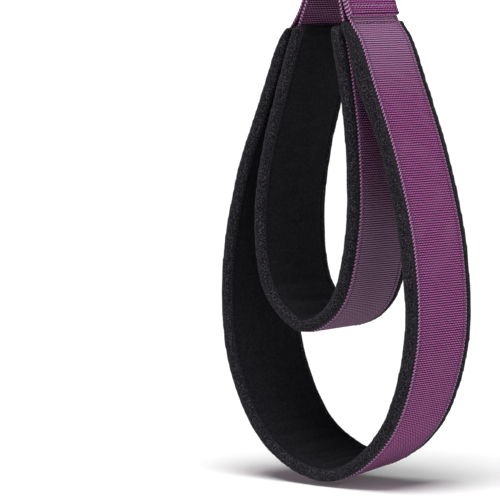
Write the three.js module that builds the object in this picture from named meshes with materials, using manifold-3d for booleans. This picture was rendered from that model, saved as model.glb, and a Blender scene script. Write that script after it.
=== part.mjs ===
// Double-loop stretching strap: a short hand loop hanging inside a long leg loop, both on one D-ring.
// Frame: millimetres, +Z up. The origin is the point inside the ring's crown where a hook bears.
// The webbing's width runs along Y; each loop lies in the XZ plane and hangs down from the ring.
import * as THREE from "three";
import { mergeVertices } from "three/addons/utils/BufferGeometryUtils.js";
import Module from "manifold-3d";

// ---- Driving dimensions -------------------------------------------------------------------------
const WEBBING_WIDTH = 50;
const WEBBING_THICKNESS = 1.3;
const PAD_WIDTH = 62;
const PAD_THICKNESS = 6.5;
const PAD_EDGE_RADIUS = 3.1;
const SKIN = 1.1; // brushed cover cloth
const GAP = 0.3; // clearance kept between separate pieces

const WIRE_RADIUS = 2.5;
const RING_INNER_WIDTH = 54;
const RING_INNER_HEIGHT = 30;
const RING_CORNER_RADIUS = 4;

const HEAD_BOTTOM = -72; // where the webbing legs part below the sewn head
const HEAD_TOP = -47; // where the sewn-in webbing ends stop
const HINGE_SLOT = 3.2; // room left in the short legs where the cloth flexes

const THREAD_WIDTH = 0.9;
const THREAD_HEIGHT = 0.5;
const SEAM_INSET = 3; // from the webbing's selvage
const INNER_SEAM_INSET = 4.5; // from the pad's edge, on the brushed side
const COVER_SLOT = 26; // width left open between the cover's turned-in edges
const END_PRESS = 0.5; // share of its thickness that a pad keeps at its sewn end

const STATION_STEP = 16; // spacing of the cross-sections along a loop
const FACE_LINES = [-WEBBING_WIDTH / 6, WEBBING_WIDTH / 6]; // lines that divide wide faces in three

// ---- Colours ------------------------------------------------------------------------------------
const cloth = (color, roughness) =>
  new THREE.MeshStandardMaterial({ color, roughness, metalness: 0 });
const PURPLE_WEBBING = cloth(0x7d3f74, 0.7);
const BLACK_FLEECE = cloth(0x19191c, 0.95);
const GREY_FOAM = cloth(0x3a3a3e, 0.9);
const PURPLE_THREAD = cloth(0x5a2a55, 0.6);
const BLACK_THREAD = cloth(0x101012, 0.6);
const STEEL = new THREE.MeshStandardMaterial({ color: 0xc9c9cc, roughness: 0.22, metalness: 1 });

const strap = new THREE.Group();
function add(name, geometry, material) {
  const mesh = new THREE.Mesh(geometry, material);
  mesh.name = name;
  strap.add(mesh);
  return mesh;
}

// ---- Rails --------------------------------------------------------------------------------------
// A rail is the line of the webbing's inner face, [x, z]. It runs down the left leg, round the
// bottom and up the right leg, so its normal points into the loop. It leans by a twist that
// grows from nothing to its full angle on the lower left and dies out again on the right.
class Rail {
  constructor(points, twistDegrees, twistFrom, twistTo) {
    this.curve = new THREE.SplineCurve(points.map(([x, z]) => new THREE.Vector2(x, z)));
    this.curve.arcLengthDivisions = 1200;
    this.length = this.curve.getLength();
    this.twist = THREE.MathUtils.degToRad(twistDegrees);
    this.twistFrom = twistFrom;
    this.twistTo = twistTo;
  }
  lean(u) {
    const f = THREE.MathUtils.clamp((u - this.twistFrom) / (this.twistTo - this.twistFrom), 0, 1);
    return this.twist * Math.sin(Math.PI * f) ** 2;
  }
  station(s) {
    const u = THREE.MathUtils.clamp(s / this.length, 0, 1);
    return stationAt(this.curve.getPointAt(u), this.curve.getTangentAt(u), this.lean(u));
  }
  stations(from, to) {
    const count = Math.round((to - from) / STATION_STEP);
    return Array.from({ length: count + 1 }, (_, i) => this.station(from + ((to - from) * i) / count));
  }
}

function stationAt(point, tangent, lean = 0) {
  return { point, normal: new THREE.Vector2(-tangent.y, tangent.x), lean, press: 1 };
}

// Width and offset on a station to a point in space; offset is positive into the loop. What lies
// on that side is pressed thinner where an end seam pinches the pad.
function place({ point, normal, lean, press }, width, offset) {
  const depth = offset > 0 ? offset * press : offset;
  const inward = depth * Math.cos(lean) + width * Math.sin(lean);
  return new THREE.Vector3(
    point.x + normal.x * inward,
    width * Math.cos(lean) - depth * Math.sin(lean),
    point.y + normal.y * inward,
  );
}

// Extrudes a section straight, one step to a station, then bends the prism along the stations.
// Section coordinates are (width, offset).
function sweep(section, stations) {
  const steps = stations.length - 1;
  const geometry = new THREE.ExtrudeGeometry(section, { depth: steps, steps, bevelEnabled: false });
  const positions = geometry.getAttribute("position");
  for (let i = 0; i < positions.count; i++) {
    const station = stations[Math.round(positions.getZ(i))];
    const p = place(station, positions.getX(i), positions.getY(i));
    positions.setXYZ(i, p.x, p.y, p.z);
  }
  return geometry;
}

// A straight face of a section: its two ends, with the face lines that neighbouring pieces share
// between them, so that faces that lean with the twist stay parallel.
function face(widthFrom, widthTo, offset) {
  const shared = FACE_LINES.filter(
    (width) => width > Math.min(widthFrom, widthTo) && width < Math.max(widthFrom, widthTo),
  );
  const between = widthFrom < widthTo ? shared : shared.reverse();
  return [widthFrom, ...between, widthTo].map((width) => new THREE.Vector2(width, offset));
}

function rectangle(widthFrom, widthTo, offsetFrom, offsetTo) {
  return new THREE.Shape([
    ...face(widthFrom, widthTo, offsetFrom),
    ...face(widthTo, widthFrom, offsetTo),
  ]);
}

const webbingSection = () => rectangle(-WEBBING_WIDTH / 2, WEBBING_WIDTH / 2, -WEBBING_THICKNESS, 0);

// ---- Loop shapes --------------------------------------------------------------------------------
const longRail = new Rail(
  [
    [-2.55, HEAD_BOTTOM],
    [-19.5, -120],
    [-28, -136],
    [-37.5, -150],
    [-52.5, -188],
    [-72.3, -243],
    [-82.5, -308],
    [-75, -369],
    [-43.8, -418],
    [8, -435.5],
    [54, -406],
    [76.5, -350],
    [75.5, -288],
    [60, -226],
    [38.5, -171],
    [29, -148],
    [20.5, -136],
    [13.5, -120],
    [0.95, HEAD_BOTTOM],
  ],
  11.5,
  0.08,
  0.68,
);
const shortRail = new Rail(
  [
    [-0.95, HEAD_BOTTOM],
    [-3, -82],
    [-15, -117],
    [-21.4, -133],
    [-26.8, -147],
    [-32.2, -163],
    [-38.8, -184],
    [-50.8, -226],
    [-56.2, -272],
    [-47.5, -317],
    [-17, -340],
    [14.5, -321],
    [28, -272],
    [28, -220],
    [22, -174],
    [14.8, -140],
    [8.5, -114],
    [0.2, -82],
    [-0.65, HEAD_BOTTOM],
  ],
  3.5,
  0.08,
  0.62,
);

// ---- Padded band --------------------------------------------------------------------------------
const PAD_FROM = GAP;
const PAD_TO = GAP + PAD_THICKNESS;
const centreOfNose = PAD_WIDTH / 2 - PAD_EDGE_RADIUS;

// A pad edge as a half-round nose: points from the outer face round to the inner face.
function nose(side, inset) {
  const radius = PAD_EDGE_RADIUS - inset;
  const centreWidth = side * centreOfNose;
  const turns = 3;
  return Array.from({ length: turns + 1 }, (_, i) => {
    const angle = -Math.PI / 2 + (Math.PI * i) / turns;
    const middle = (PAD_FROM + PAD_TO) / 2;
    const half = PAD_THICKNESS / 2 - inset;
    return new THREE.Vector2(centreWidth + side * radius * Math.cos(angle), middle + half * Math.sin(angle));
  });
}

// The cover is one cloth wrapped round the foam, its two edges turned in under the webbing.
function coverSection() {
  const slot = COVER_SLOT / 2;
  const fleeceFace = face(centreOfNose, -centreOfNose, PAD_TO).slice(1, -1);
  const outer = [...nose(1, 0), ...fleeceFace, ...nose(-1, 0).reverse()];
  const innerFace = face(-centreOfNose, centreOfNose, PAD_TO - SKIN).slice(1, -1);
  const inner = [...nose(-1, SKIN), ...innerFace, ...nose(1, SKIN).reverse()];
  return new THREE.Shape([
    new THREE.Vector2(slot, PAD_FROM),
    ...outer,
    new THREE.Vector2(-slot, PAD_FROM),
    new THREE.Vector2(-slot, PAD_FROM + SKIN),
    ...inner,
    new THREE.Vector2(slot, PAD_FROM + SKIN),
  ]);
}

function foamSection() {
  const inset = SKIN + GAP;
  const innerFace = face(centreOfNose, -centreOfNose, PAD_TO - inset).slice(1, -1);
  const outerFace = face(-centreOfNose, centreOfNose, PAD_FROM + inset).slice(1, -1);
  return new THREE.Shape([...nose(1, inset), ...innerFace, ...nose(-1, inset).reverse(), ...outerFace]);
}

// One loop: webbing, cover, foam, the two long seams and the two end seams. The foam stops one
// station short of the cover's pinched ends.
function buildLoop(name, rail, freeLeft, freeRight, webbingStations) {
  const from = freeLeft;
  const to = rail.length - freeRight;
  const band = rail.stations(from, to);
  band[0].press = END_PRESS;
  band[band.length - 1].press = END_PRESS;
  add(name + "_webbing", sweep(webbingSection(), webbingStations(band, from, to)), PURPLE_WEBBING);
  add(name + "_cover", sweep(coverSection(), band), BLACK_FLEECE);
  add(name + "_foam", sweep(foamSection(), band.slice(1, -1)), GREY_FOAM);

  const faceOffset = -WEBBING_THICKNESS - GAP;
  const innerOffset = PAD_TO + GAP;
  for (const [edge, side] of [["near", -1], ["far", 1]]) {
    const outer = side * (WEBBING_WIDTH / 2 - SEAM_INSET);
    const inner = side * (PAD_WIDTH / 2 - INNER_SEAM_INSET);
    const outerThread = rectangle(
      outer - THREAD_WIDTH / 2,
      outer + THREAD_WIDTH / 2,
      faceOffset - THREAD_HEIGHT,
      faceOffset,
    );
    const innerThread = rectangle(
      inner - THREAD_WIDTH / 2,
      inner + THREAD_WIDTH / 2,
      innerOffset,
      innerOffset + THREAD_HEIGHT,
    );
    add(name + "_seam_" + edge, sweep(outerThread, band), PURPLE_THREAD);
    add(name + "_bobbin_" + edge, sweep(innerThread, band), BLACK_THREAD);
  }
  const endReach = WEBBING_WIDTH / 2 - SEAM_INSET - THREAD_WIDTH;
  const endSection = rectangle(-endReach, endReach, faceOffset - THREAD_HEIGHT, faceOffset);
  const endInset = 3;
  for (const [end, s] of [["left", from + endInset], ["right", to - endInset]]) {
    const row = [rail.station(s - THREAD_WIDTH / 2), rail.station(s + THREAD_WIDTH / 2)];
    add(name + "_end_seam_" + end, sweep(endSection, row), PURPLE_THREAD);
  }
}

// ---- Sewn head ----------------------------------------------------------------------------------
// Five layers lie flat together in the head, from left to right: the long strip coming down, the
// short strip's two ends, the long strip's inner end, and its tail, which turns over the ring bar.
const BAR_HEIGHT = -(RING_INNER_HEIGHT + WIRE_RADIUS);
const WRAP_RADIUS = WIRE_RADIUS + GAP;

const up = new THREE.Vector2(0, 1);
const down = new THREE.Vector2(0, -1);
const at = (x, z) => new THREE.Vector2(x, z);

// The tail lies on the outside of the right leg, one layer out, then turns over the ring's bar.
function headStations() {
  const layer = -(WEBBING_THICKNESS + GAP);
  const legLength = longRail.length - 60;
  const tail = longRail.stations(legLength + 2, longRail.length - 3).map((station) => {
    const p = place(station, 0, layer);
    return stationAt(at(p.x, p.z), at(station.normal.y, -station.normal.x));
  });
  const tailTop = [stationAt(at(2.55, HEAD_BOTTOM + 3), up), stationAt(at(2.6, HEAD_TOP), up)];
  const turns = 8;
  const wrap = Array.from({ length: turns + 1 }, (_, i) => {
    const angle = (Math.PI * i) / turns;
    const point = at(WRAP_RADIUS * Math.cos(angle), BAR_HEIGHT + WRAP_RADIUS * Math.sin(angle));
    return stationAt(point, at(-Math.sin(angle), Math.cos(angle)));
  });
  const fall = [stationAt(at(-2.6, HEAD_TOP), down), stationAt(at(-2.55, HEAD_BOTTOM + 3), down)];
  return [...tail, ...tailTop, ...wrap, ...fall];
}

buildLoop("long", longRail, 82, 67.5, (band, from, to) => [
  ...headStations(),
  ...longRail.stations(2, from).slice(0, -1),
  ...band,
  ...longRail.stations(to, longRail.length - 2).slice(1),
  stationAt(at(0.95, HEAD_BOTTOM + 3), up),
  stationAt(at(0.95, HEAD_TOP), up),
]);
buildLoop("short", shortRail, 69.5, 67, (band, from, to) => [
  ...shortRail.stations(HINGE_SLOT, from).slice(0, -1),
  ...band,
  ...shortRail.stations(to, shortRail.length - HINGE_SLOT).slice(1),
]);

// The short strip's sewn-in ends, above the line where it flexes.
for (const [side, x, heading] of [["left", -0.95, down], ["right", -0.65, up]]) {
  const ends = [stationAt(at(x, HEAD_TOP), heading), stationAt(at(x, HEAD_BOTTOM), heading)];
  const ordered = side === "left" ? ends : ends.reverse();
  add("short_end_" + side, sweep(webbingSection(), ordered), PURPLE_WEBBING);
}

// ---- Head stitching -----------------------------------------------------------------------------
const wasm = await Module();
wasm.setup();

function solidFrom(geometry) {
  const bare = new THREE.BufferGeometry();
  bare.setAttribute("position", geometry.getAttribute("position"));
  const merged = mergeVertices(bare, 1e-4);
  const mesh = new wasm.Mesh({
    numProp: 3,
    vertProperties: new Float32Array(merged.getAttribute("position").array),
    triVerts: new Uint32Array(merged.index.array),
  });
  return new wasm.Manifold(mesh);
}

function geometryFrom(solid) {
  const { vertProperties, triVerts } = solid.getMesh();
  const geometry = new THREE.BufferGeometry();
  geometry.setAttribute("position", new THREE.BufferAttribute(vertProperties, 3));
  geometry.setIndex(new THREE.BufferAttribute(triVerts, 1));
  return geometry;
}

// A box of stitches with a cross in it, flat on an outer face of the head.
function crossedBox(width, height) {
  const outline = rectangle(-width / 2, width / 2, -height / 2, height / 2);
  const w = width / 2 - THREAD_WIDTH;
  const h = height / 2 - THREAD_WIDTH;
  const dx = (THREAD_WIDTH / 2) * (width / height);
  const dy = THREAD_WIDTH / 2;
  const sideways = [at(w, -h + dy), at(dx, 0), at(w, h - dy)];
  const upward = [at(-w + dx, h), at(0, dy), at(w - dx, h)];
  const mirrored = (points) => points.map((p) => p.clone().negate());
  for (const hole of [sideways, mirrored(sideways), upward, mirrored(upward)]) {
    outline.holes.push(new THREE.Path(hole));
  }
  return outline;
}

const HEAD_STITCH = { width: 42, height: 18, middle: -59.5, face: 4.15 };
const ontoHeadFace = new THREE.Matrix4().makeBasis(
  new THREE.Vector3(0, 1, 0),
  new THREE.Vector3(0, 0, 1),
  new THREE.Vector3(1, 0, 0),
);
for (const [side, x] of [["left", -HEAD_STITCH.face - THREAD_HEIGHT], ["right", HEAD_STITCH.face]]) {
  const outline = crossedBox(HEAD_STITCH.width, HEAD_STITCH.height);
  const geometry = new THREE.ExtrudeGeometry(outline, { depth: THREAD_HEIGHT, bevelEnabled: false });
  geometry.applyMatrix4(ontoHeadFace);
  const stitches = add("head_stitch_" + side, geometry, PURPLE_THREAD);
  stitches.position.set(x, 0, HEAD_STITCH.middle);
}

// A zigzag row tacks the tail's foot to the right leg.
const TACK = { zigs: 24, reach: 22, rise: 1.4, aboveFoot: 5 };
function zigzag() {
  const line = Array.from({ length: TACK.zigs + 1 }, (_, i) => {
    const width = TACK.reach * ((2 * i) / TACK.zigs - 1);
    return at(width, i % 2 ? TACK.rise : -TACK.rise);
  });
  const shift = (points, rise) => points.map((p) => at(p.x, p.y + rise));
  return new THREE.Shape([...shift(line, -THREAD_WIDTH / 2), ...shift(line, THREAD_WIDTH / 2).reverse()]);
}
{
  const tail = headStations();
  const foot = tail[0].point;
  const along = tail[1].point.clone().sub(foot).normalize();
  const outward = at(along.y, -along.x);
  const centre = foot.clone().addScaledVector(along, TACK.aboveFoot);
  centre.addScaledVector(outward, WEBBING_THICKNESS + GAP);
  const geometry = new THREE.ExtrudeGeometry(zigzag(), { depth: THREAD_HEIGHT, bevelEnabled: false });
  geometry.applyMatrix4(
    new THREE.Matrix4()
      .makeBasis(
        new THREE.Vector3(0, 1, 0),
        new THREE.Vector3(along.x, 0, along.y),
        new THREE.Vector3(outward.x, 0, outward.y),
      )
      .setPosition(centre.x, 0, centre.y),
  );
  add("tail_tack", geometry, PURPLE_THREAD);
}

// ---- D-ring -------------------------------------------------------------------------------------
// One bent and welded wire: a straight bar, two rounded corners and a crown that is half an ellipse.
function ringGeometry() {
  const half = RING_INNER_WIDTH / 2 + WIRE_RADIUS;
  const corner = half - RING_CORNER_RADIUS;
  const shoulder = BAR_HEIGHT + RING_CORNER_RADIUS;
  const crownFoot = shoulder + 4;
  const bow = new THREE.Path();
  bow.moveTo(corner - 2, BAR_HEIGHT);
  bow.lineTo(corner, BAR_HEIGHT);
  bow.absarc(corner, shoulder, RING_CORNER_RADIUS, -Math.PI / 2, 0);
  bow.lineTo(half, crownFoot);
  bow.absellipse(0, crownFoot, half, WIRE_RADIUS - crownFoot, 0, Math.PI);
  bow.lineTo(-half, shoulder);
  bow.absarc(-corner, shoulder, RING_CORNER_RADIUS, Math.PI, (3 * Math.PI) / 2);
  bow.lineTo(-corner + 2, BAR_HEIGHT);
  const points = bow.getSpacedPoints(44);
  const stations = points.map((point, i) => {
    const before = points[Math.max(i - 1, 0)];
    const after = points[Math.min(i + 1, points.length - 1)];
    return stationAt(point, after.clone().sub(before).normalize());
  });
  const wire = new THREE.Shape(new THREE.EllipseCurve(0, 0, WIRE_RADIUS, WIRE_RADIUS).getPoints(12).slice(0, -1));
  const bar = [stationAt(at(-corner + 1, BAR_HEIGHT), at(1, 0)), stationAt(at(corner - 1, BAR_HEIGHT), at(1, 0))];
  return geometryFrom(solidFrom(sweep(wire, stations)).add(solidFrom(sweep(wire, bar))));
}
const ring = add("d_ring", ringGeometry(), STEEL);
ring.rotation.z = Math.PI / 2;

export default strap;
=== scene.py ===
# %% [markdown]
# # A double-loop stretching strap
# Two padded loops hang from one D-ring: a short hand loop inside a long leg loop. Each loop is a
# strip of ribbed webbing with a fleece-covered foam pad sewn along its inner face. This lesson
# builds the looks of each piece in the finished solid model's frame, and to the model's sizes.

# %% Open the solid model
import math

import bmesh
import bpy
import numpy as np
from mathutils import Matrix, Vector, kdtree, noise


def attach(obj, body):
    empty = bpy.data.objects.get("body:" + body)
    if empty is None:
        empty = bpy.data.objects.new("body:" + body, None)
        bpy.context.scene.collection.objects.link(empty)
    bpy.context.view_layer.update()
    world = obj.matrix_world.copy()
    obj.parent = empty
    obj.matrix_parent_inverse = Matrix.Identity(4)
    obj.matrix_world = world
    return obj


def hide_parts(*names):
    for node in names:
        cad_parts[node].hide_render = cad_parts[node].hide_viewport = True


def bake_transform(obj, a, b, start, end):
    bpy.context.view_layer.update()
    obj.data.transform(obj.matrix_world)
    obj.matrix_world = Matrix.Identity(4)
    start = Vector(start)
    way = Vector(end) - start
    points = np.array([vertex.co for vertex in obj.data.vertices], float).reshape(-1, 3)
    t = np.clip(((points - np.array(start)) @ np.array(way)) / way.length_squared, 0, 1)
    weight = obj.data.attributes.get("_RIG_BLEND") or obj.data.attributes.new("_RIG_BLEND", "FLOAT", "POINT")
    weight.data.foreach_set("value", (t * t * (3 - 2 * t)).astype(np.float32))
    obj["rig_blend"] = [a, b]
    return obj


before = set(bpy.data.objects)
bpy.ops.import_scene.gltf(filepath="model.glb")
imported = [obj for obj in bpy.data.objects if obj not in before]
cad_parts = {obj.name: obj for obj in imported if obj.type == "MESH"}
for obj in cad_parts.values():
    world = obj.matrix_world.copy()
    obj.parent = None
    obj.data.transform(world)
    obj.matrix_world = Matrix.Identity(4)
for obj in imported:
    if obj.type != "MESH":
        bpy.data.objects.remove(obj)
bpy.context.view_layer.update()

# %% [markdown]
# ## Camera
# The camera stands 40 degrees round to the side and only just above the strap, far back with a
# long lens, so that the loops are drawn almost without perspective. It looks past the strap's
# left side, which leaves the strap in the right half of the view. Turning the camera does that
# as well as a lens shift would, and other views then need no correction.

# %% Camera
MM = 0.001
MIDDLE = Vector((3.4, 0, -281)) * MM
DISTANCE = 2.6
TURN_LEFT, TURN_DOWN = 2 / 75, 1 / 390


def facing(azimuth, elevation):
    """The directions back to the viewer, right and up, for a view round the strap."""
    a, e = math.radians(azimuth), math.radians(elevation)
    back = Vector((math.sin(a) * math.cos(e), -math.cos(a) * math.cos(e), math.sin(e)))
    right = Vector((math.cos(a), math.sin(a), 0))
    return back, right, back.cross(right)


back, right, up = facing(40, 4.5)
lens = bpy.data.cameras.new("camera")
lens.lens, lens.sensor_width = 280.8, 36
lens.clip_start, lens.clip_end = 0.1, 200
camera = bpy.data.objects.new("camera", lens)
bpy.context.scene.collection.objects.link(camera)
bpy.context.scene.camera = camera
camera.location = MIDDLE + back * DISTANCE
ahead = -back - right * TURN_LEFT - up * TURN_DOWN
camera.rotation_mode = "QUATERNION"
camera.rotation_quaternion = ahead.to_track_quat("-Z", "Y")
print("camera at", [round(v, 3) for v in camera.location])

# %% [markdown]
# ## Floor and light
# The strap hangs just clear of a plain white floor. A low wall all round it glows, as a lit
# backdrop does, so every view ends in plain white and none shows the floor's edge. Most light
# comes down as from a wide lamp in the roof, which whitens the floor and leaves a soft shadow
# under the strap. A low panel on each side opens the dark sides without washing the shadow out.

# %% Floor and backdrop
FLOOR = -443.5 * MM
STUDIO_RADIUS = 14
WALL_HEIGHT = 1.6


def finished(name, bm, material=None, smooth=True):
    """A bmesh made into an object at the origin, with its material where it has one yet."""
    data = bpy.data.meshes.new(name)
    bm.to_mesh(data)
    bm.free()
    data.polygons.foreach_set("use_smooth", [smooth] * len(data.polygons))
    piece = bpy.data.objects.new(name, data)
    bpy.context.scene.collection.objects.link(piece)
    if material is not None:
        data.materials.append(material)
    return piece


def studio_circle(filled):
    bm = bmesh.new()
    bmesh.ops.create_circle(bm, cap_ends=filled, segments=96, radius=STUDIO_RADIUS)
    bmesh.ops.translate(bm, verts=bm.verts, vec=(0, 0, FLOOR))
    return bm


def backdrop_mesh():
    """The floor's edge extruded up into a low wall that faces inwards."""
    bm = studio_circle(False)
    made = bmesh.ops.extrude_edge_only(bm, edges=bm.edges[:])["geom"]
    rim = [g for g in made if isinstance(g, bmesh.types.BMVert)]
    bmesh.ops.translate(bm, verts=rim, vec=(0, 0, WALL_HEIGHT))
    bmesh.ops.recalc_face_normals(bm, faces=bm.faces)
    bmesh.ops.reverse_faces(bm, faces=bm.faces)
    return bm


studio_floor = finished("studio_floor", studio_circle(True), smooth=False)
backdrop = finished("backdrop", backdrop_mesh(), smooth=False)
print("floor at", FLOOR)

# %% Lights


def panel(name, azimuth, elevation, distance, size, watts):
    """A square soft light that faces the strap's middle."""
    light = bpy.data.lights.new(name, "AREA")
    light.shape, light.size, light.energy = "SQUARE", size, watts
    lamp = bpy.data.objects.new(name, light)
    bpy.context.scene.collection.objects.link(lamp)
    towards = facing(azimuth, elevation)[0]
    lamp.location = MIDDLE + towards * distance
    lamp.rotation_mode = "QUATERNION"
    lamp.rotation_quaternion = (-towards).to_track_quat("-Z", "Y")


panel("key_panel", azimuth=84, elevation=13, distance=2.2, size=1.2, watts=10)
panel("edge_panel", azimuth=-12, elevation=12, distance=2.2, size=1.0, watts=7)
sun = bpy.data.lights.new("roof_panel", "SUN")
sun.energy, sun.angle = 3.3, math.radians(40)
roof = bpy.data.objects.new("roof_panel", sun)
bpy.context.scene.collection.objects.link(roof)
roof.rotation_mode = "QUATERNION"
roof.rotation_quaternion = (-facing(24, 74)[0]).to_track_quat("-Z", "Y")
world = bpy.data.worlds.new("studio")
bpy.context.scene.world = world
world.use_nodes = True
sky = world.node_tree.nodes["Background"]
sky.inputs["Color"].default_value = (1, 1, 1, 1)
sky.inputs["Strength"].default_value = 0.08
bpy.context.scene.view_settings.view_transform = "Standard"

# %% [markdown]
# ## Writing finishes as sums
# A weave is arithmetic: waves along the strip, waves across it, and masks for its edges. Wired by
# hand that is dozens of Math nodes. Here a `Term` wraps a node's output, so that an ordinary
# Python expression adds the nodes for it, and a `Finish` is one material and its node maker.

# %% Terms and finishes


class Term:
    """A number that varies over a surface: an output socket with arithmetic on it."""

    def __init__(self, finish, socket):
        self.finish, self.socket = finish, socket

    def do(self, operation, *others):
        return self.finish.node("ShaderNodeMath", {"operation": operation}, {
            i: value for i, value in enumerate((self, *others))
        })

    def flipped(self, operation, other):
        return self.finish.node("ShaderNodeMath", {"operation": operation}, {0: other, 1: self})

    def __add__(self, other):
        return self.do("ADD", other)

    __radd__ = __add__

    def __sub__(self, other):
        return self.do("SUBTRACT", other)

    def __rsub__(self, other):
        return self.flipped("SUBTRACT", other)

    def __mul__(self, other):
        return self.do("MULTIPLY", other)

    __rmul__ = __mul__

    def __truediv__(self, other):
        return self.do("DIVIDE", other)

    def __rtruediv__(self, other):
        return self.flipped("DIVIDE", other)

    def wave(self, pitch):
        """From 0 to 1 and back once in each pitch, 1 where the term is a whole number of pitches."""
        return (self * (2 * math.pi / pitch)).do("COSINE") * 0.5 + 0.5

    def above(self, start, end):
        """0 below start, 1 above end, smooth between."""
        settings = {"interpolation_type": "SMOOTHSTEP"}
        return self.finish.node("ShaderNodeMapRange", settings, {
            "Value": self, "From Min": start, "From Max": end,
        })


class Finish:
    """One material: its Principled shader, and a method that adds any other node."""

    def __init__(self, name, **constants):
        self.material = bpy.data.materials.new(name)
        self.material.use_nodes = True
        self.tree = self.material.node_tree
        self.shader = self.tree.nodes["Principled BSDF"]
        for socket, value in constants.items():
            self.shader.inputs[socket.replace("_", " ")].default_value = value

    def node(self, kind, settings=None, inputs=None, output=0):
        made = self.tree.nodes.new(kind)
        for key, value in (settings or {}).items():
            setattr(made, key, value)
        for key, value in (inputs or {}).items():
            self.feed(made.inputs[key], value)
        return Term(self, made.outputs[output])

    def feed(self, socket, value):
        if isinstance(value, Term):
            self.tree.links.new(value.socket, socket)
        else:
            socket.default_value = value

    def mix(self, share, first, second):
        """A colour between two colours or colour terms."""
        rgba = [c if isinstance(c, Term) else (*c, 1) for c in (first, second)]
        return self.node("ShaderNodeMix", {"data_type": "RGBA"}, {
            0: share, 6: rgba[0], 7: rgba[1],
        }, output=2)

    def parts(self, vector):
        """The three numbers of a vector term."""
        split = self.node("ShaderNodeSeparateXYZ", None, {0: vector})
        return [Term(self, output) for output in split.socket.node.outputs]

    def cloth(self):
        """Place on the flat cloth in millimetres: across, along and depth."""
        found = self.node("ShaderNodeAttribute", {"attribute_name": "cloth"}, output="Vector")
        return found, self.parts(found)

    def noise(self, vector, scale, detail=2.0, roughness=0.5):
        return self.node("ShaderNodeTexNoise", {"noise_dimensions": "3D"}, {
            "Vector": vector, "Scale": scale, "Detail": detail, "Roughness": roughness,
        })

    def bump(self, height, strength, distance):
        return self.node("ShaderNodeBump", None, {
            "Height": height, "Strength": strength, "Distance": distance,
        })

    def show(self, **varying):
        for socket, value in varying.items():
            self.feed(self.shader.inputs[socket.replace("_", " ")], value)
        return self.material


print("shader words:", [n for n in dir(Term) if not n.startswith("_")])

# %% [markdown]
# ## Ribbed webbing
# The webbing is woven with thick cross yarns, so it has a rib across its width every 1.55 mm, and
# the lengthwise yarns show as short pips on each rib, set like bricks. The grooves between the ribs
# are painted near-black as shade, and the pip tips are painted pale as highlights. Its two edges
# are rope-like selvages, paler because their yarns stand up into the light. A painted shade darkens
# each stitch channel. Each strip has a painted sheen, its ridges painted greyer round one place: the
# long one just below its hem, the short one near the bottom of its loop. The short strip's ridges
# are painted darker all along, as shade between the loops. An image of cloth could be laid on it,
# but it would blur and repeat. Waves of the strip's own coordinates stay sharp, and follow every
# bend.

# %% Webbing finish
RIB_PITCH = 1.55
PIP_PITCH = 2.7
ROPE_PITCH = 2.5
WEBBING_WIDTH = 50
WEBBING_THICKNESS = 1.3
SEAM_WIDTH = WEBBING_WIDTH / 2 - 3
SHEEN_PATCH_CORE, SHEEN_PATCH_REACH = 15, 75


def webbing_finish(name, ridge, tip, sheen_patch_place):
    """Woven webbing whose ridges are painted greyer round one place along the strip, as a painted sheen."""
    f = Finish(name, Sheen_Weight=0.03, Sheen_Roughness=0.45, Specular_IOR_Level=0.12)
    f.shader.inputs["Sheen Tint"].default_value = (0.95, 0.8, 0.92, 1)
    place, (across, along, _) = f.cloth()
    wander = f.noise(place, 0.35, 1.0)
    ribs = along + (wander - 0.5) * 0.5
    rib = ribs.wave(RIB_PITCH)
    brick = (ribs / RIB_PITCH + 0.5).do("FLOOR") * (PIP_PITCH / 2)
    pip = (across + brick).wave(PIP_PITCH)
    from_middle = across.do("ABSOLUTE")
    selvage = from_middle.above(WEBBING_WIDTH / 2 - 1.15, WEBBING_WIDTH / 2 - 0.8)
    rope = (along + from_middle * 1.6).wave(ROPE_PITCH)
    channel = 1 - (from_middle - SEAM_WIDTH).do("ABSOLUTE").above(0.2, 0.9)
    patches = f.noise(place, 0.055, 3.0)
    lint = f.noise(place, 2.2, 1.0).above(0.6, 0.8)

    # The ribs and pips are the weave; the grooves between ribs are painted near-black as shade, and the pip
    # tips painted pale as highlights.
    body = f.mix(rib.above(0.25, 0.8), (0.010, 0.001, 0.009), ridge)
    body = f.mix(rib.above(0.55, 1.0) * pip.above(0.35, 1.0) * 0.7, body, tip)
    # Painted sheen: the ridges are painted greyer round one place along the strip, for the light they
    # reflect there.
    rub_and_sheen = 1 - (along - sheen_patch_place).do("ABSOLUTE").above(SHEEN_PATCH_CORE, SHEEN_PATCH_REACH)
    body = f.mix(rub_and_sheen * rib * 0.5, body, (0.44, 0.30, 0.44))
    edge = f.mix(rope.above(0.35, 0.85), (0.060, 0.010, 0.050), (0.50, 0.28, 0.46))
    colour = f.mix(selvage, body, edge)
    # Painted shade: the stitch channel is painted darker, as the shade in its groove.
    colour = f.mix(channel * 0.7, colour, (0.03, 0.004, 0.025))
    colour = f.mix(patches.above(0.45, 0.8) * 0.22, colour, (0.20, 0.10, 0.19))
    colour = f.mix(lint * 0.10, colour, (0.5, 0.4, 0.5))
    height = (rib * 0.75 + rib * pip * 0.35) * (1 - selvage) + rope * selvage * 0.9 - channel * 0.6
    return f.show(
        Base_Color=colour,
        Roughness=0.62 + (1 - rib) * 0.25,
        Normal=f.bump(height, 0.8, 0.0004),
    )


# The long strip's painted sheen sits just below its hem.
WEBBING = webbing_finish("ribbed_webbing", (0.285, 0.036, 0.215), (0.66, 0.30, 0.56), 945)
# The short strip's webbing is a darker copy: its ridges are painted darker as shade between the loops, its
# pip tips greyer as painted sheen, and its painted sheen patch sits near the bottom of its loop.
SHADED_WEBBING = webbing_finish("shaded_webbing", (0.190, 0.036, 0.150), (0.58, 0.34, 0.54), 385)
print("webbing nodes", len(WEBBING.node_tree.nodes))

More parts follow.
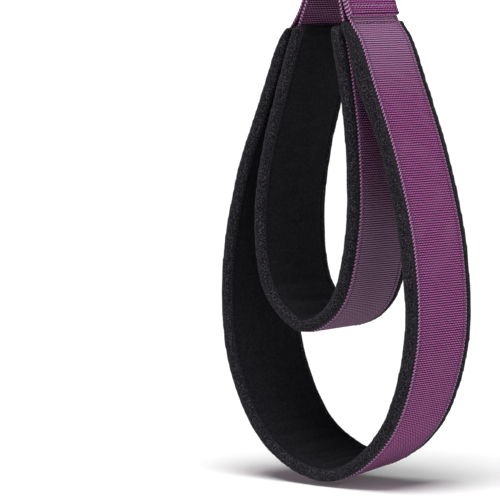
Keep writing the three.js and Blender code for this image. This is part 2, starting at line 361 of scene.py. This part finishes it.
# %% [markdown]
# ## Brushed fleece
# The pads' covers are brushed black cloth. Its nap has no weave to see, only a fine speckle of
# fibre ends that are greyer where they catch the light, over softer blotches where it has been
# rubbed. Noise at three sizes gives that, and sheen gives the pale rim that a nap has. Along the
# rolled edges the cover is painted much paler: partly the open nap's paler fibre ends, partly a
# painted highlight for the light the rolls catch.

# %% Fleece, thread and steel finishes


def fleece_finish():
    f = Finish("brushed_fleece", Sheen_Weight=0.06, Sheen_Roughness=0.5, Specular_IOR_Level=0.1)
    f.shader.inputs["Sheen Tint"].default_value = (0.5, 0.5, 0.55, 1)
    across = f.cloth()[1][0]
    object_place = f.node("ShaderNodeTexCoord", output="Object")
    fibre = f.noise(object_place, 1300, 2.0, 0.6)
    tuft = f.noise(object_place, 500, 2.0, 0.6)
    rub_and_sheen = f.noise(object_place, 38, 3.0)
    roll = across.do("ABSOLUTE").above(25.5, 28.5)
    speck = fibre.above(0.51, 0.66)
    colour = f.mix(tuft.above(0.35, 0.7), (0.0035, 0.0030, 0.0048), (0.0085, 0.0080, 0.0105))
    colour = f.mix(speck * 0.35, colour, (0.022, 0.022, 0.026))
    # The rolled edges are painted paler: partly open nap, partly a painted highlight for the light the rolls
    # catch.
    open_nap_and_highlight = f.mix(speck * (0.5 + tuft * 0.5), (0.0045, 0.0040, 0.0062), (0.098, 0.090, 0.106))
    colour = f.mix(roll * (0.55 + rub_and_sheen * 0.5), colour, open_nap_and_highlight)
    return f.show(
        Base_Color=colour,
        Roughness=0.95 - speck * 0.12,
        Normal=f.bump(fibre * 0.6 + tuft, 0.7, 0.0006),
    )


def thread_finish(name, dark, light, roughness):
    f = Finish(name, Sheen_Weight=0.2, Specular_IOR_Level=0.3)
    object_place = f.node("ShaderNodeTexCoord", output="Object")
    twist = f.noise(object_place, 1600, 1.0)
    return f.show(
        Base_Color=f.mix(twist.above(0.3, 0.7), dark, light),
        Roughness=roughness + (twist - 0.5) * 0.2,
        Normal=f.bump(twist, 0.5, 0.0002),
    )


def steel_finish():
    f = Finish("plated_steel", Metallic=1.0)
    object_place = f.node("ShaderNodeTexCoord", output="Object")
    smear = f.noise(object_place, 60, 3.0)
    scratch = f.noise(f.node("ShaderNodeMapping", None, {0: object_place, 3: (900, 60, 60)}), 3, 2.0)
    return f.show(
        Base_Color=f.mix(smear.above(0.4, 0.8), (0.56, 0.56, 0.58), (0.42, 0.42, 0.44)),
        Roughness=0.13 + smear * 0.12 + scratch.above(0.6, 0.8) * 0.12,
        Normal=f.bump(scratch, 0.06, 0.0001),
    )


def paper_finish():
    f = Finish("white_paper", Specular_IOR_Level=0.1)
    object_place = f.node("ShaderNodeTexCoord", output="Object")
    grain = f.noise(object_place, 3, 2.0)
    white = f.mix(grain, (0.93, 0.93, 0.93), (0.96, 0.96, 0.96))
    return f.show(Base_Color=white, Roughness=0.9 + grain * 0.05)


def backdrop_finish():
    f = Finish("lit_backdrop", Specular_IOR_Level=0.1, Emission_Strength=1.0)
    object_place = f.node("ShaderNodeTexCoord", output="Object")
    weave = f.noise(object_place, 2, 2.0)
    return f.show(Emission_Color=f.mix(weave, (1.0, 1.0, 1.0), (0.98, 0.98, 0.98)))


FLEECE = fleece_finish()
DARK_THREAD = thread_finish("purple_thread", (0.045, 0.012, 0.042), (0.13, 0.045, 0.12), 0.6)
PALE_THREAD = thread_finish("lilac_thread", (0.25, 0.10, 0.23), (0.50, 0.28, 0.47), 0.6)
BLACK_THREAD = thread_finish("black_thread", (0.006, 0.006, 0.007), (0.02, 0.02, 0.022), 0.6)
STEEL = steel_finish()
studio_floor.data.materials.append(paper_finish())
backdrop.data.materials.append(backdrop_finish())
print("finishes", [m.name for m in bpy.data.materials])

# %% [markdown]
# ## The line each loop follows
# Both loops hang in a plane and keep their width square to it, apart from a slight lean on the
# lower left. So a loop is one line in that plane, the webbing's inner face, and every layer is a
# flat piece bent along it: a place on the flat cloth is a distance across, a distance along and a
# depth. Modelling each piece flat and then bending it keeps its true size, and its pattern.

# %% Lines and bending
HEAD_BOTTOM = -72
HEAD_TOP = -47
LONG_POINTS = [
    (-2.55, HEAD_BOTTOM), (-19.5, -120), (-28, -136), (-37.5, -150), (-52.5, -188), (-72.3, -243),
    (-82.5, -308), (-75, -369), (-43.8, -418), (8, -435.5), (54, -406), (76.5, -350), (75.5, -288),
    (60, -226), (38.5, -171), (29, -148), (20.5, -136), (13.5, -120), (0.95, HEAD_BOTTOM),
]
SHORT_POINTS = [
    (-0.95, HEAD_BOTTOM), (-3, -82), (-15, -117), (-21.4, -133), (-26.8, -147), (-32.2, -163),
    (-38.8, -184), (-50.8, -226), (-56.2, -272), (-47.5, -317), (-17, -340), (14.5, -321), (28, -272),
    (28, -220), (22, -174), (14.8, -140), (8.5, -114), (0.2, -82), (-0.65, HEAD_BOTTOM),
]


def smooth_line(points, steps=60):
    """A smooth curve through the points: each stretch leaves along the line joining its neighbours."""
    p = np.array([points[0], *points, points[-1]], float)
    w = np.linspace(0, 1, steps, endpoint=False)[:, None]
    made = []
    for a, b, c, d in zip(p, p[1:], p[2:], p[3:]):
        v0, v1 = (c - a) / 2, (d - b) / 2
        made.append((2 * b - 2 * c + v0 + v1) * w**3 + (3 * c - 3 * b - 2 * v0 - v1) * w**2 + v0 * w + b)
    return np.concatenate([*made, p[-1:]])


class Line:
    """A line in the loop's plane, with its lean, that flat pieces are bent along."""

    def __init__(self, points, lean=None, ease=0.0):
        points = np.array(points, float)
        keep = np.concatenate([[True], np.linalg.norm(np.diff(points, axis=0), axis=1) > 1e-6])
        points = points[keep]
        self.lean = np.zeros(len(points)) if lean is None else np.array(lean)[keep]
        self.points = points
        self.along = np.concatenate([[0], np.cumsum(np.linalg.norm(np.diff(points, axis=0), axis=1))])
        self.length = self.along[-1]
        tangent = np.gradient(points, self.along, axis=0)
        if ease:
            tangent = np.stack([self.eased(tangent[:, i], ease) for i in (0, 1)], 1)
        self.tangent = tangent / np.linalg.norm(tangent, axis=1)[:, None]

    def eased(self, values, reach):
        s = self.along
        return (np.interp(s - reach, s, values) + values + np.interp(s + reach, s, values)) / 3

    def at(self, s):
        """Point, normal into the loop, and lean at distances along the line."""
        x, z = (np.interp(s, self.along, self.points[:, i]) for i in (0, 1))
        tx, tz = (np.interp(s, self.along, self.tangent[:, i]) for i in (0, 1))
        size = np.hypot(tx, tz)
        normal = np.stack([-tz, tx], -1) / size[..., None]
        return np.stack([x, z], -1), normal, np.interp(s, self.along, self.lean)

    def bend(self, across, along, depth):
        """Places on the flat cloth, in millimetres, to points in space."""
        point, normal, lean = self.at(along)
        inward = depth * np.cos(lean) + across * np.sin(lean)
        flat = point + normal * inward[..., None]
        return np.stack([flat[..., 0], across * np.cos(lean) - depth * np.sin(lean), flat[..., 1]], -1)

    def rest(self, where):
        """Points in space back to places on the flat cloth."""
        tree = kdtree.KDTree(len(self.points))
        for i, (x, z) in enumerate(self.points):
            tree.insert((x, 0, z), i)
        tree.balance()
        nearest = np.array([tree.find((x, 0, z))[1] for x, _, z in where])
        offset = where[:, [0, 2]] - self.points[nearest]
        tangent = self.tangent[nearest]
        normal = np.stack([-tangent[:, 1], tangent[:, 0]], 1)
        along = self.along[nearest] + (offset * tangent).sum(1)
        inward, lean = (offset * normal).sum(1), self.lean[nearest]
        across = where[:, 1] * np.cos(lean) + inward * np.sin(lean)
        return across, along, inward * np.cos(lean) - where[:, 1] * np.sin(lean)


def loop_line(points, twist, start, end):
    """A loop's line, leaning most between start and end of its length."""
    line = Line(smooth_line(points))
    share = np.clip((line.along / line.length - start) / (end - start), 0, 1)
    line.lean = math.radians(twist) * np.sin(np.pi * share) ** 2
    return line


LONG = loop_line(LONG_POINTS, 11.5, 0.08, 0.68)
SHORT = loop_line(SHORT_POINTS, 3.5, 0.08, 0.62)
print(f"round the long loop {LONG.length:.0f} mm, round the short loop {SHORT.length:.0f} mm")

# %% [markdown]
# ## A flat band to bend
# The webbing and the pads start flat. A grid of the right length and width is given its
# thickness while it is still flat, its long edges are rounded, and each point keeps its flat
# place in an attribute called cloth, for the finishes to read. Only then is it bent.

# %% Flat bands


def flat_band(width, thickness, rows, columns, rounding, round_steps=3):
    """A closed flat band from row to row, its long edges rounded. Its top face is at depth 0."""
    bm = bmesh.new()
    bmesh.ops.create_grid(bm, x_segments=columns, y_segments=len(rows) - 1, size=0.5)
    for v in bm.verts:
        row = round((v.co.y + 0.5) * (len(rows) - 1))
        v.co = (v.co.x * width, rows[row], 0)
    bmesh.ops.solidify(bm, geom=bm.faces[:], thickness=thickness)
    low = min(v.co.z for v in bm.verts)
    bmesh.ops.translate(bm, verts=bm.verts, vec=(0, 0, -low - thickness))
    edges = [
        e for e in bm.edges
        if all(abs(abs(v.co.x) - width / 2) < 1e-4 for v in e.verts)
        and abs(e.verts[0].co.z - e.verts[1].co.z) < 1e-4
    ]
    bmesh.ops.bevel(
        bm, geom=edges, offset=rounding, segments=round_steps, profile=0.5, affect="EDGES", material=-1
    )
    bmesh.ops.recalc_face_normals(bm, faces=bm.faces)
    return bm


def bend_band(bm, line, shift=0.0):
    """Records each point's flat place in the cloth attribute and bends the band along a line."""
    cloth = bm.verts.layers.float_vector.new("cloth")
    flat = np.array([v.co for v in bm.verts])
    bent = line.bend(flat[:, 0], flat[:, 1], flat[:, 2] + shift) * MM
    for v, place, where in zip(bm.verts, flat, bent):
        v[cloth] = Vector(place)
        v.co = where
    bmesh.ops.recalc_face_normals(bm, faces=bm.faces)
    return bm


def spaced(*stretches):
    """Rows at the spacing that each stretch (start, end, spacing) asks for."""
    rows = [np.linspace(a, b, max(1, round((b - a) / step)), endpoint=False) for a, b, step in stretches]
    return np.concatenate([*rows, [stretches[-1][1]]])


test = flat_band(WEBBING_WIDTH, WEBBING_THICKNESS, spaced((0, 10, 1)), 8, 0.4)
print("a test band has", len(test.faces), "faces")
test.free()

# %% [markdown]
# ## The long strip
# One piece of webbing makes the whole outer loop. Its tail starts with a hem folded under on the
# outside of the right leg, runs up over the D-ring's bar, down the left leg, round, and back up
# into the head. The line is drawn through the middle of the webbing's thickness, so the outside
# of the tight fold stretches and the inside bunches, as cloth does.

# %% Line of the long strip
HALF = WEBBING_THICKNESS / 2
BAR_HEIGHT = -32.5
WIRE = 2.5
WRAP_GAP = 0.3
WRAP = WIRE + WRAP_GAP + HALF
TAIL = 61.5
HEM = 13


def arc(centre, radius, start, end, steps):
    angles = np.radians(np.linspace(start, end, steps))
    return np.stack([centre[0] + radius * np.cos(angles), centre[1] + radius * np.sin(angles)], 1)


def beside(line, s, depth):
    """Points at a depth from a line, with no lean."""
    point, normal, _ = line.at(s)
    return point + normal * np.asarray(depth)[..., None]


def tail_points():
    """The hem under the tail, its fold, and the tail up to the head."""
    foot = LONG.length - TAIL
    under, over = -(HALF * 3 + 0.12), -(HALF * 5 + 0.3)
    s_under = np.linspace(foot + HEM, foot, 30)
    fold_centre, normal, _ = LONG.at(np.array(foot))
    fold_centre = fold_centre + normal * (under + over) / 2
    tangent = np.array([normal[1], -normal[0]])
    radius = (under - over) / 2
    turn = np.radians(np.linspace(0, 180, 14))[1:-1, None]
    fold = fold_centre + radius * (normal * np.cos(turn) - tangent * np.sin(turn))
    s_over = np.linspace(foot, LONG.length - 3, 80)
    ramp = np.clip((s_over - foot - HEM + 2) / 9, 0, 1)
    ramp = ramp * ramp * (3 - 2 * ramp)
    depth = over + (under - 0.15 - over) * ramp
    return np.concatenate([beside(LONG, s_under, np.full(30, under)), fold, beside(LONG, s_over, depth)])


def long_strip_line():
    tail = tail_points()
    rise = np.array([(3.2, HEAD_BOTTOM + 4), (3.3, HEAD_TOP), (WRAP, BAR_HEIGHT - 6)])
    wrap = arc((0, BAR_HEIGHT), WRAP, 0, 180, 40)
    fall = np.array([(-WRAP, BAR_HEIGHT - 6), (-3.25, HEAD_TOP), (-3.2, HEAD_BOTTOM + 4)])
    s = np.linspace(4, LONG.length - 4, 900)
    loop = beside(LONG, s, np.full(900, -HALF))
    head = np.array([(1.6, HEAD_BOTTOM + 4), (1.6, HEAD_TOP + 1)])
    before = np.concatenate([tail, rise, wrap, fall])
    points = np.concatenate([before, loop, head])
    lean = np.concatenate([np.zeros(len(before)), LONG.at(s)[2], np.zeros(2)])
    return Line(points, lean, ease=0.25)


STRIP = long_strip_line()
wrap_at = STRIP.along[np.argmax(STRIP.points[:, 1])]
print(f"the long strip is {STRIP.length:.0f} mm long and turns over the bar {wrap_at:.0f} mm from its hem")

# %% Long strip
rows = spaced(
    (0, 11.5, 1.5), (11.5, 17.5, 0.3), (17.5, wrap_at - 8, 1.5), (wrap_at - 8, wrap_at + 8, 0.6),
    (wrap_at + 8, STRIP.length, 1.6),
)
bm = flat_band(WEBBING_WIDTH, WEBBING_THICKNESS, rows, 12, 0.45)
long_strip = finished("long_strip", bend_band(bm, STRIP, HALF), WEBBING)
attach(long_strip, "long_loop")
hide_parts("long_webbing")
print("long strip", len(long_strip.data.polygons), "faces")

# %% [markdown]
# ## The short strip
# The hand loop's webbing is sewn between the long strip's layers in the head. It bends just below
# the stitching, so in the poses its top stays with the head and the rest sways with its loop.

# %% Short strip


def short_strip_line():
    s = np.linspace(3, SHORT.length - 3, 700)
    ends = [[(-1.6, HEAD_TOP), (-1.6, HEAD_BOTTOM + 4)], [(0, HEAD_BOTTOM + 4), (0, HEAD_TOP)]]
    loop = beside(SHORT, s, np.full(700, -HALF))
    lean = np.concatenate([[0, 0], SHORT.at(s)[2], [0, 0]])
    return Line(np.concatenate([ends[0], loop, ends[1]]), lean, ease=0.25)


INNER_STRIP = short_strip_line()
bm = flat_band(WEBBING_WIDTH, WEBBING_THICKNESS, spaced((0, INNER_STRIP.length, 1.6)), 12, 0.45)
short_strip = finished("short_strip", bend_band(bm, INNER_STRIP, HALF), SHADED_WEBBING)
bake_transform(short_strip, "long_loop", "short_loop", start=(0, 0, -0.070), end=(0, 0, -0.092))
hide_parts("short_webbing", "short_end_left", "short_end_right")
print(f"the short strip is {INNER_STRIP.length:.0f} mm long")

# %% [markdown]
# ## The pads
# Each pad is foam in a brushed cover, sewn to the webbing along both long edges. The stitches
# pull lines into it, and what is outside them swells into a soft roll along each edge. A pad
# modelled by hand looks like moulded rubber, so its cover is blown up slightly as cloth, pinned
# where the stitches hold it, and each point may move only a little.

# %% Pad shape before sewing
PAD_WIDTH = 62
PAD_DEPTH = 6.2
CHANNEL = PAD_WIDTH / 2 - 5


def eased(values, start, end):
    """0 below start, 1 above end, smooth between, for numbers or arrays."""
    share = np.clip((np.asarray(values, float) - start) / (end - start), 0, 1)
    return share * share * (3 - 2 * share)


def free_edge(across):
    """0 under the webbing, 1 outside it, where no stitch holds the pad."""
    return eased(np.abs(across), 25.2, 27.2)


def rolled(across, depth):
    """How the free edges outside the stitches swell: wider, and out past the webbing."""
    free = free_edge(across)
    middle = PAD_DEPTH / 2 + 0.25
    out = free * ((depth - middle) * 0.28 - (0.75 if depth < middle else 0.2))
    return np.sign(across) * (np.abs(across) + free * 1.1), depth + out


def flat_pad(start, end, first_end, last_end, puff):
    """The foam and cover, flat: rolled along its edges and thinner at its sewn ends.

    Each end is (thickness left in the middle, thickness left at the free edges, reach), and puff
    is (place, reach, height) of a stretch where the foam stands thicker.
    """
    bm = flat_band(PAD_WIDTH - 0.4, PAD_DEPTH, spaced((start, end, 2.2)), 28, 2.95, 4)
    bmesh.ops.translate(bm, verts=bm.verts, vec=(0, 0, PAD_DEPTH + 0.25))
    for v in bm.verts:
        across, depth = rolled(v.co.x, v.co.z)
        free = free_edge(across)
        thin = 1.0
        for from_end, (middle, edge, reach) in ((v.co.y - start, first_end), (end - v.co.y, last_end)):
            left = middle + (edge - middle) * free
            thin *= left + (1 - left) * min(1.0, max(0.0, from_end) / reach) ** 0.6
        place, reach, height = puff
        depth += height * math.exp(-(((v.co.y - place) / reach) ** 2)) * float(eased(v.co.z, 1, 5))
        corner = max(0.0, 3.0 - min(v.co.y - start, end - v.co.y)) / 3.0
        v.co.x = across * (1 - 0.025 * corner * corner)
        v.co.z = 0.25 + (depth - 0.25) * thin
    return bm


# %% Sewing and swelling
VOXEL = 2.3
SWELL_FRAMES = 20
SWELL_CAP = 1.6


def evaluated(piece):
    """The piece's mesh with its modifiers applied."""
    graph = bpy.context.evaluated_depsgraph_get()
    return bpy.data.meshes.new_from_object(piece.evaluated_get(graph))


def coordinates(mesh):
    co = np.zeros(len(mesh.vertices) * 3)
    mesh.vertices.foreach_get("co", co)
    return co.reshape(-1, 3)


def even_out(piece):
    """Gives the piece an even mesh, which swells smoothly."""
    modifier = piece.modifiers.new("even_mesh", "REMESH")
    modifier.mode, modifier.voxel_size = "VOXEL", VOXEL * MM
    mesh = evaluated(piece)
    piece.modifiers.clear()
    piece.data = mesh


def held_by_thread(across, depth):
    """1 where the cover is held: under the webbing and in the sewn channels."""
    under = (np.abs(across) < 24.3) & (depth < 1.8)
    channel = (np.abs(np.abs(across) - CHANNEL) < 1.1) & (depth > 3)
    return (under | channel).astype(float)


def swell(piece, line):
    """Blows the cover up as cloth between its seams, and caps how far each point may move."""
    before = coordinates(piece.data)
    across, along, depth = line.rest(before / MM)
    weights = held_by_thread(across, depth)
    group = piece.vertex_groups.new(name="sewn")
    group.add(np.flatnonzero(weights > 0.5).tolist(), 1.0, "ADD")
    cloth = piece.modifiers.new("cover", "CLOTH")
    settings = cloth.settings
    settings.quality = 4
    settings.mass = 0.2
    settings.vertex_group_mass = "sewn"
    settings.use_pressure = True
    settings.uniform_pressure_force = 5
    settings.tension_stiffness = settings.compression_stiffness = 12
    settings.shear_stiffness, settings.bending_stiffness = 6, 0.6
    settings.effector_weights.gravity = 0
    cloth.collision_settings.use_collision = False
    cloth.point_cache.frame_start, cloth.point_cache.frame_end = 1, SWELL_FRAMES
    for step in range(1, SWELL_FRAMES + 1):
        bpy.context.scene.frame_set(step)
    swollen = evaluated(piece)
    after = coordinates(swollen)
    move = after - before
    size = np.linalg.norm(move, axis=1)[:, None] + 1e-12
    after = before + move * np.minimum(1, SWELL_CAP * MM / size)
    piece.modifiers.clear()
    piece.vertex_groups.clear()
    bpy.context.scene.frame_set(1)
    piece.data = swollen
    piece.data.vertices.foreach_set("co", after.ravel())
    piece.data.update()
    print(f"{piece.name} swelled by up to {min(size.max() / MM, SWELL_CAP):.1f} mm, {len(before)} points")


def refine(piece):
    """Divides each face of the mesh in four, smoothly."""
    modifier = piece.modifiers.new("finer", "SUBSURF")
    modifier.levels = modifier.render_levels = 1
    mesh = evaluated(piece)
    piece.modifiers.clear()
    piece.data = mesh


# %% [markdown]
# After the cloth has settled, the stitches are pulled into it: a channel on the brushed face with
# a dimple at each stitch, and soft creases across it where the tight bottom of the loop squeezes
# the foam. The nap moves every point by a hair's breadth, so the outline isn't razor sharp.

# %% Channels, creases and nap


def sew_and_nap(piece, line, start, end, creases):
    """Moves each point for the channels, creases and nap. A crease is (place, tilt, width, height)."""
    where = coordinates(piece.data) / MM
    across, along, depth = line.rest(where)
    inner = np.clip((depth - 2.5) / 2, 0, 1)
    side = np.abs(across) - CHANNEL
    stitch = 0.6 + 0.4 * np.cos(2 * np.pi * along / 3.3)
    push = -0.95 * np.exp(-((side / 1.15) ** 2)) * stitch * inner
    push += 0.45 * np.exp(-(((side - 2.9) / 1.6) ** 2)) * inner
    for place, tilt, width, height in creases:
        at = along - place - across * tilt
        ends = np.clip((CHANNEL + 1 - np.abs(across)) / 8, 0, 1)
        push += height * np.exp(-((at / width) ** 2)) * ends * inner
    from_end = np.minimum(along - start, end - along)
    push -= 0.9 * np.exp(-(((from_end - 3.2) / 1.1) ** 2)) * (np.abs(across) < CHANNEL) * inner
    for i, way in enumerate(Vector(w) for w in where):
        push[i] += 0.10 * noise.noise(way * 0.85) + 0.05 * noise.noise(way * 2.1)
        push[i] += 0.28 * noise.noise(way * 0.09)
    normals = np.zeros(len(where) * 3)
    piece.data.vertices.foreach_get("normal", normals)
    moved = where + normals.reshape(-1, 3) * push[:, None]
    piece.data.vertices.foreach_set("co", (moved * MM).ravel())
    names = piece.data.attributes
    attribute = names.get("cloth") or names.new("cloth", "FLOAT_VECTOR", "POINT")
    attribute.data.foreach_set("vector", np.stack([across, along, depth], 1).ravel().astype(np.float32))
    piece.data.update()


def make_pad(name, line, left, right, ends, puff, creases, body):
    start, end = left, line.length - right
    pad = finished(name, bend_band(flat_pad(start, end, *ends, puff), line))
    even_out(pad)
    swell(pad, line)
    refine(pad)
    pad.data.polygons.foreach_set("use_smooth", [True] * len(pad.data.polygons))
    sew_and_nap(pad, line, start, end, creases)
    pad.data.materials.append(FLEECE)
    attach(pad, body)
    print(f"{name}: {end - start:.0f} mm long, {len(pad.data.polygons)} faces")
    return pad


# %% Long pad and short pad
LONG_PAD, SHORT_PAD = (72.5, 64.5), (69.5, 67)
SEWN_END, FIRM_END, SQUEEZED_END = (0.55, 0.9, 13), (0.36, 0.5, 26), (0.35, 0.4, 24)
LONG_PUFF, SHORT_PUFF = (LONG.length - 112, 24, 2.2), (SHORT.length - 80, 30, 0.6)
LONG_CREASES = [
    (405, 0.10, 3.0, -0.7), (421, -0.16, 2.4, -0.6), (433, 0.12, 2.8, -0.5), (372, 0.2, 3.5, -0.4),
    (455, -0.1, 3.0, -0.45),
]
SHORT_CREASES = [
    (268, 0.12, 2.6, -0.5), (283, -0.14, 2.2, -0.6), (297, 0.1, 2.6, -0.5), (318, -0.1, 3.0, -0.4),
]
long_ends, short_ends = (SQUEEZED_END, FIRM_END), (SEWN_END, SEWN_END)
long_pad = make_pad("long_pad", LONG, *LONG_PAD, long_ends, LONG_PUFF, LONG_CREASES, "long_loop")
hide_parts("long_cover", "long_foam")
short_pad = make_pad("short_pad", SHORT, *SHORT_PAD, short_ends, SHORT_PUFF, SHORT_CREASES, "short_loop")
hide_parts("short_cover", "short_foam")

# %% [markdown]
# ## Stitches
# A seam shows as single stitches: short, fat threads with a gap where each one dives into the
# cloth. One long thin tube would read as piping. Each stitch is a small stretched ball of a few
# faces, because there are more than a thousand of them, laid flat on its face of the cloth.

# %% One stitch, and rows of them
STITCH_PITCH = 3.3
LENGTHWISE_SHARE, CROSSWISE_SHARE = 0.86, 0.8


def add_stitch(bm, start, end, face, radius):
    """A stretched ball from start to end, flattened against the face it lies on."""
    direction = end - start
    along = direction.normalized()
    out = (face - along * face.dot(along)).normalized()
    turn = Matrix((along, out.cross(along), out)).transposed().to_4x4()
    size = Matrix.Diagonal((direction.length / 2, radius, radius * 0.75, 1))
    place = Matrix.Translation((start + end) / 2) @ turn @ size @ Matrix.Rotation(math.pi / 2, 4, "Y")
    bmesh.ops.create_uvsphere(bm, u_segments=6, v_segments=4, radius=1, matrix=place)


def seam_row(line, pairs, depth, radius):
    """Stitches between pairs of places (across, along) at one depth on a line."""
    bm = bmesh.new()
    for (w0, s0), (w1, s1) in pairs:
        ends = line.bend(np.array([w0, w1]), np.array([s0, s1]), np.full(2, depth)) * MM
        middle = (np.array([(w0 + w1) / 2]), np.array([(s0 + s1) / 2]))
        low, high = (line.bend(*middle, np.array([d])) for d in (0.0, math.copysign(1, depth)))
        add_stitch(bm, Vector(ends[0]), Vector(ends[1]), Vector((high - low)[0]), radius * MM)
    return bm


def lengthwise(across, start, end):
    """Pairs of places for a seam along the strip."""
    starts = np.arange(start, end - STITCH_PITCH, STITCH_PITCH)
    return [((across, s), (across, s + STITCH_PITCH * LENGTHWISE_SHARE)) for s in starts]


def crosswise(along, reach):
    """Pairs of places for a seam across the strip."""
    count = int(2 * reach / STITCH_PITCH)
    starts = -reach + np.arange(count) * 2 * reach / count
    return [((w, along), (w + 2 * reach / count * CROSSWISE_SHARE, along)) for w in starts]


def sewn(name, bm, thread, body):
    """One row of stitches, which stands for the solid row of the same name."""
    piece = finished(name + "_stitches", bm, thread)
    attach(piece, body)
    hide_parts(name)


# %% Seams along and across both loops
count = 0
for loop, line, (left, right), body in (
    ("long", LONG, LONG_PAD, "long_loop"),
    ("short", SHORT, SHORT_PAD, "short_loop"),
):
    start, end = left + 2.5, line.length - right - 2.5
    face = -(WEBBING_THICKNESS + 0.08)
    for edge, side in (("near", -1), ("far", 1)):
        pairs = lengthwise(side * SEAM_WIDTH, start, end)
        sewn(f"{loop}_seam_{edge}", seam_row(line, pairs, face, 0.34), DARK_THREAD, body)
        pairs = lengthwise(side * CHANNEL, start, end)
        bobbin = seam_row(line, pairs, PAD_DEPTH - 0.55, 0.3)
        sewn(f"{loop}_bobbin_{edge}", bobbin, BLACK_THREAD, body)
        count += 2 * len(pairs)
    for name, s in (("left", start + 0.7), ("right", end - 0.7)):
        pairs = crosswise(s, SEAM_WIDTH - 1)
        row = seam_row(line, pairs, face, 0.36)
        sewn(f"{loop}_end_seam_{name}", row, DARK_THREAD, body)
        count += len(pairs)
print(count, "stitches along and across the loops")

# %% [markdown]
# ## The head and the hem
# Five layers of webbing are sewn together below the ring with a box of stitches and a cross in
# it, the usual way to hold a load. The tail's hem is tacked with a zigzag, which stretches
# without breaking.

# %% Box, cross and zigzag


def box_and_cross(width, height, middle):
    """Pairs of places for a box with a cross in it."""
    w, h = width / 2, height / 2
    corners = [(-w, -h), (w, -h), (w, h), (-w, h)]
    runs = [*zip(corners, corners[1:] + corners[:1]), (corners[0], corners[2]), (corners[1], corners[3])]
    pairs = []
    for a, b in runs:
        a, b = np.array(a), np.array(b)
        steps = max(2, round(np.linalg.norm(b - a) / STITCH_PITCH))
        for i in range(steps):
            p, q = a + (b - a) * (i + 0.08) / steps, a + (b - a) * (i + 0.9) / steps
            pairs.append(((p[0], middle + p[1]), (q[0], middle + q[1])))
    return pairs


LEFT_FACE = Line([(-3.85, -80), (-3.85, -40)])
RIGHT_FACE = Line([(3.85, -80), (3.85, -40)])
for side, line, depth in (("left", LEFT_FACE, 0.1), ("right", RIGHT_FACE, -0.1)):
    row = seam_row(line, box_and_cross(width=42, height=18, middle=20.5), depth, 0.36)
    sewn(f"head_stitch_{side}", row, DARK_THREAD, "long_loop")


TACK_PLACE = 20


def zigzag(reach, rise, middle, count):
    """Pairs of places for stitches that rise and fall in turn across the strip."""
    points = []
    for i in range(count + 1):
        points.append((-reach + 2 * reach * i / count, middle + (rise if i % 2 else -rise)))
    return list(zip(points, points[1:]))


tack_pairs = zigzag(reach=22.5, rise=0.8, middle=TACK_PLACE, count=26)
tack = seam_row(STRIP, tack_pairs, -(HALF + 0.1), 0.26)
sewn("tail_tack", tack, PALE_THREAD, "long_loop")

# %% [markdown]
# ## The D-ring
# The ring is one 5 mm wire bent round and welded in the middle of its bar, where the webbing
# hides the bead. A flat grid is rolled into a tube along the ring's line, which gives the bend
# at each corner its true radius. The weld is a slight swelling with a rough edge.

# %% Ring


def ring_points():
    half, corner_radius = 27 + WIRE, 4
    corner = half - corner_radius
    shoulder = BAR_HEIGHT + corner_radius
    crown = shoulder + 4
    sides = [
        np.array([(0, BAR_HEIGHT), (corner, BAR_HEIGHT)]),
        arc((corner, shoulder), corner_radius, -90, 0, 12)[1:],
    ]
    angles = np.linspace(0, np.pi / 2, 40)
    bow = np.stack([half * np.cos(angles), crown + (WIRE - crown) * np.sin(angles)], 1)
    right_half = np.concatenate([*sides, bow])
    left_half = right_half[::-1][1:] * (-1, 1)
    return np.concatenate([right_half, left_half])


def ring_mesh():
    line = Line(ring_points())
    around, steps = 24, 220
    bm = bmesh.new()
    bmesh.ops.create_grid(bm, x_segments=around, y_segments=steps, size=0.5)
    for v in bm.verts:
        angle, s = (v.co.x + 0.5) * 2 * math.pi, (v.co.y + 0.5) * line.length
        point, normal, _ = line.at(np.array(s))
        weld = math.exp(-((min(s, line.length - s) / 1.6) ** 2))
        radius = WIRE + weld * (0.16 + 0.08 * math.sin(5 * angle))
        y, z = point + normal * radius * math.cos(angle)
        v.co = Vector((radius * math.sin(angle), y, z)) * MM
    bmesh.ops.remove_doubles(bm, verts=bm.verts, dist=1e-5)
    bmesh.ops.recalc_face_normals(bm, faces=bm.faces)
    return bm


ring = finished("ring", ring_mesh(), STEEL)
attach(ring, "ring")
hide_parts("d_ring")
print("ring", len(ring.data.polygons), "faces")

# %% [markdown]
# ## Cut sizes
# The strips are cloth cut to a length and bent, never stretched, so their flat sizes are stated.
